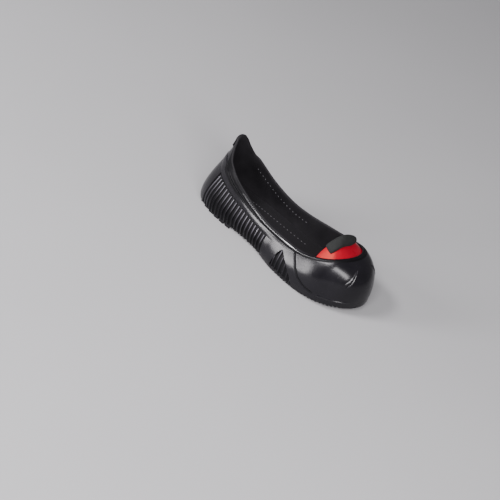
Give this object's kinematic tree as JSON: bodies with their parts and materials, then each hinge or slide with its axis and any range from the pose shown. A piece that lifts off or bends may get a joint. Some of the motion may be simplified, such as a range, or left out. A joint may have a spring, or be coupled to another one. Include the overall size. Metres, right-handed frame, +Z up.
{
  "type": "overshoe",
  "caption": "Low black rubber overshoe for the right foot, open at the collar, with ribbed sides, treaded sole and a red protective toe cap showing behind the throat.",
  "frame": {"origin": "on the floor under the middle of the shoe's box", "axes": "+X from heel to toe, +Y to the inner (medial) side of the foot, +Z up"},
  "size_m": [0.2869, 0.1044, 0.1063],
  "materials": {
    "upper": "satin black moulded rubber",
    "outsole": "black moulded rubber, less glossy than the upper",
    "insole": "near-black sock sheet with a light stitch line",
    "toe_cap": "red coated cap, soft gloss",
    "cap_edge_pad": "dark grey matte foam"
  },
  "bodies": {
    "root": {"upper": "upper", "outsole": "outsole", "insole": "insole", "toe_cap": "toe_cap", "cap_edge_pad": "cap_edge_pad"}
  },
  "joints": []
}
